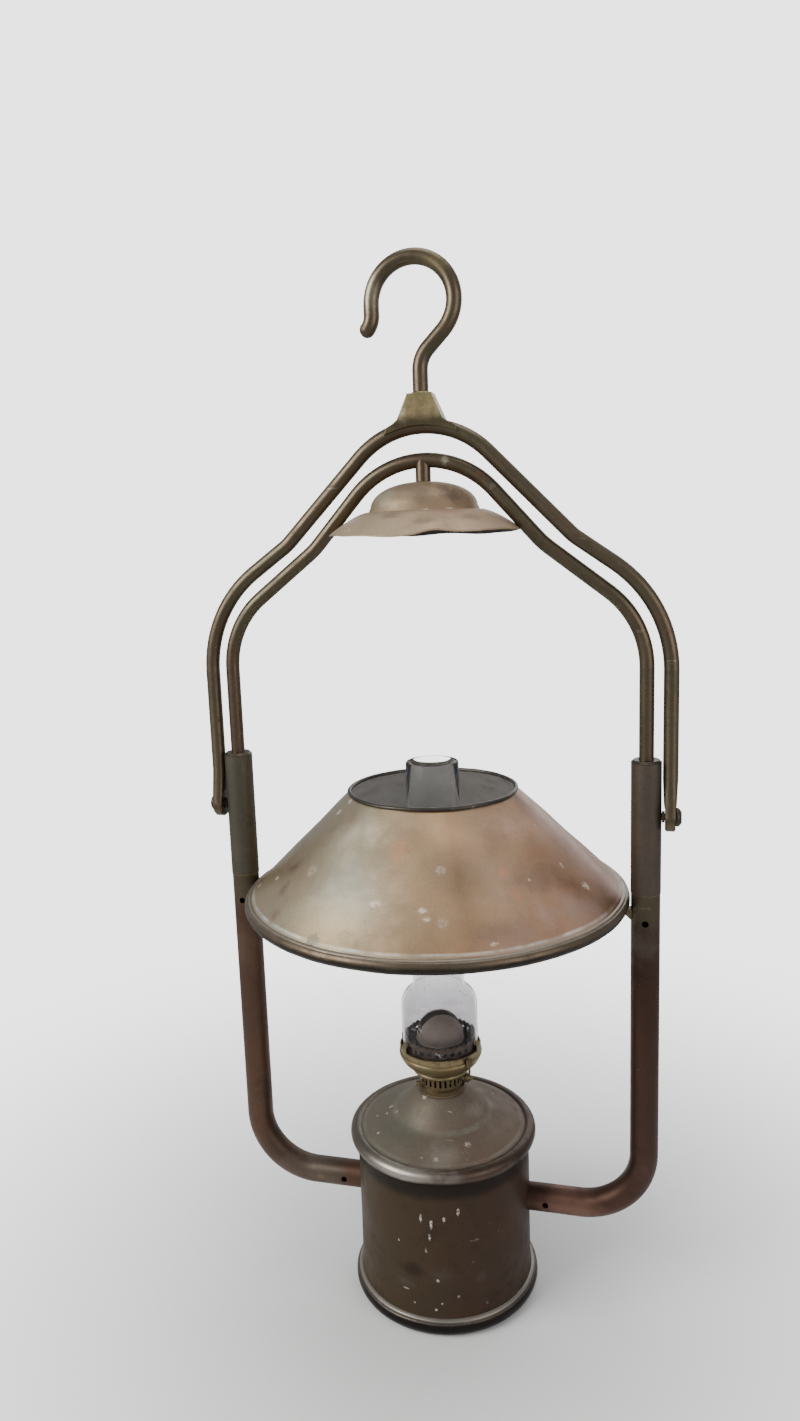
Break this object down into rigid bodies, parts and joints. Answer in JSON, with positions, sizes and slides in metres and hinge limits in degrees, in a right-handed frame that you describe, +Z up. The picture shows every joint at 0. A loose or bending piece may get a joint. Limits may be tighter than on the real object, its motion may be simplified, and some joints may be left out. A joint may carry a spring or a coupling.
{
  "type": "hanging oil lantern",
  "caption": "Oil lantern that hangs from a hook: a swinging frame of rods and tubes holds a cone shade, a smoke bell, an oil font, a flat-wick burner and a glass chimney.",
  "frame": {"origin": "where the hook bears on what it hangs from: the height of the highest point inside the hook, on the centre line of the frame", "axes": "+Z up along the lantern, X across the frame from upright to upright with the hook's open side towards -X, -Y towards the front"},
  "size_m": [0.347, 0.2786, 0.7567],
  "materials": {
    "rod": "aged brown patina",
    "saddle": "worn satin",
    "rivet": "dark aged",
    "bell": "tarnished, dented",
    "sleeve": "dark grey-brown patina",
    "fitting": "dull yellow",
    "copper_tube": "brown patina",
    "shade": "tarnished with white splatter",
    "shade_bead": "dull grey-brown",
    "font": "dark brown patina",
    "font_ring": "worn grey-brown",
    "lid": "warm grey patina",
    "burner": "dull yellow",
    "deflector": "sooty",
    "wick": "woven cotton",
    "glass": "clear, slightly hazy"
  },
  "bodies": {
    "hanger": {"hook": "rod", "hook_saddle": "saddle", "outer_bail": "rod"},
    "lantern": {"pivot_rivet_left": "rivet", "pivot_rivet_right": "rivet", "pivot_washer_left": "rivet", "pivot_washer_right": "rivet", "inner_bow": "rod", "bell_stem": "rod", "smoke_bell": "bell", "sleeve_plug_left": "fitting", "sleeve_plug_right": "fitting", "sleeve_left": "sleeve", "sleeve_right": "sleeve", "tube_spigot_left": "fitting", "tube_spigot_right": "fitting", "lower_tube_left": "copper_tube", "lower_tube_right": "copper_tube", "font_stub_left": "fitting", "font_stub_right": "fitting", "shade_cone": "shade", "shade_rim": "shade_bead", "shade_top_rim": "shade_bead", "shade_lug_left": "fitting", "shade_lug_right": "fitting", "font_body": "font", "font_base": "font", "font_foot_ring": "font_ring", "font_top_ring": "font_ring", "font_lid": "lid", "filler_collar": "burner"},
    "burner": {"burner_base": "burner", "burner_gallery": "burner", "gallery_catch": "burner", "burner_crown": "deflector", "flame_deflector": "deflector", "wick_tube": "burner"},
    "winder": {"wick_spindle": "burner", "wick_spurs": "burner", "wick_knob": "burner"},
    "wick_strip": {"wick": "wick"},
    "glass_chimney": {"chimney": "glass"}
  },
  "joints": [
    {"name": "lantern_swing", "type": "hinge", "parent": "hanger", "child": "lantern", "pos_m": [0, 0, -0.37235], "axis": [1, 0, 0], "range_deg": [-150, 150]},
    {"name": "burner_lift", "type": "slide", "parent": "lantern", "child": "burner", "axis": [0, 0, 1], "range_m": [0, 0.14]},
    {"name": "winder_turn", "type": "hinge", "parent": "burner", "child": "winder", "pos_m": [0.00205, -0.00483, -0.58175], "axis": [0.9205, 0.3907, 0], "range_deg": [-40.2, 150.5]},
    {"name": "wick_feed", "type": "slide", "parent": "burner", "child": "wick_strip", "axis": [0, 0, 1], "range_m": [-0.0028, 0.0105]},
    {"name": "chimney_lift", "type": "slide", "parent": "burner", "child": "glass_chimney", "axis": [0, 0, 1], "range_m": [0, 0.035]}
  ],
  "couplings": [
    {"joint": "winder_turn", "follows": "wick_feed", "rad_per_m": 250}
  ]
}
